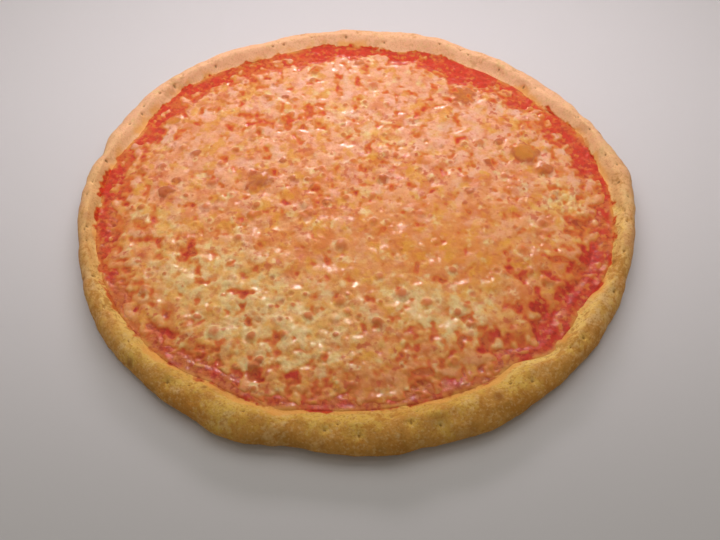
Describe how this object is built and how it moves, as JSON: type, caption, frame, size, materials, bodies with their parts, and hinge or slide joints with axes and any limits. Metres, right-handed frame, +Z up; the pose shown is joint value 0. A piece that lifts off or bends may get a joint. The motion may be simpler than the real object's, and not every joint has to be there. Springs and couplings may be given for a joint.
{
  "type": "cheese pizza",
  "caption": "Whole uncut cheese pizza with a raised uneven crust, tomato sauce and melted cheese, lying flat on its underside",
  "frame": {"origin": "middle of the underside, under the centre of the pizza's bounding box", "axes": "+Z up out of the cheese, which is the pizza's thin direction; +X to the right and +Y away from someone who looks at it as in the picture"},
  "size_m": [0.3226, 0.3124, 0.0144],
  "materials": {
    "crust": "baked dough, dry and slightly rough, light golden tan with browner speckles",
    "sauce": "baked tomato sauce, moist, orange-red",
    "cheese": "melted cheese with an oily sheen, mottled cream, peach and orange"
  },
  "bodies": {
    "root": {"crust": "crust", "sauce": "sauce", "cheese": "cheese"}
  },
  "joints": []
}
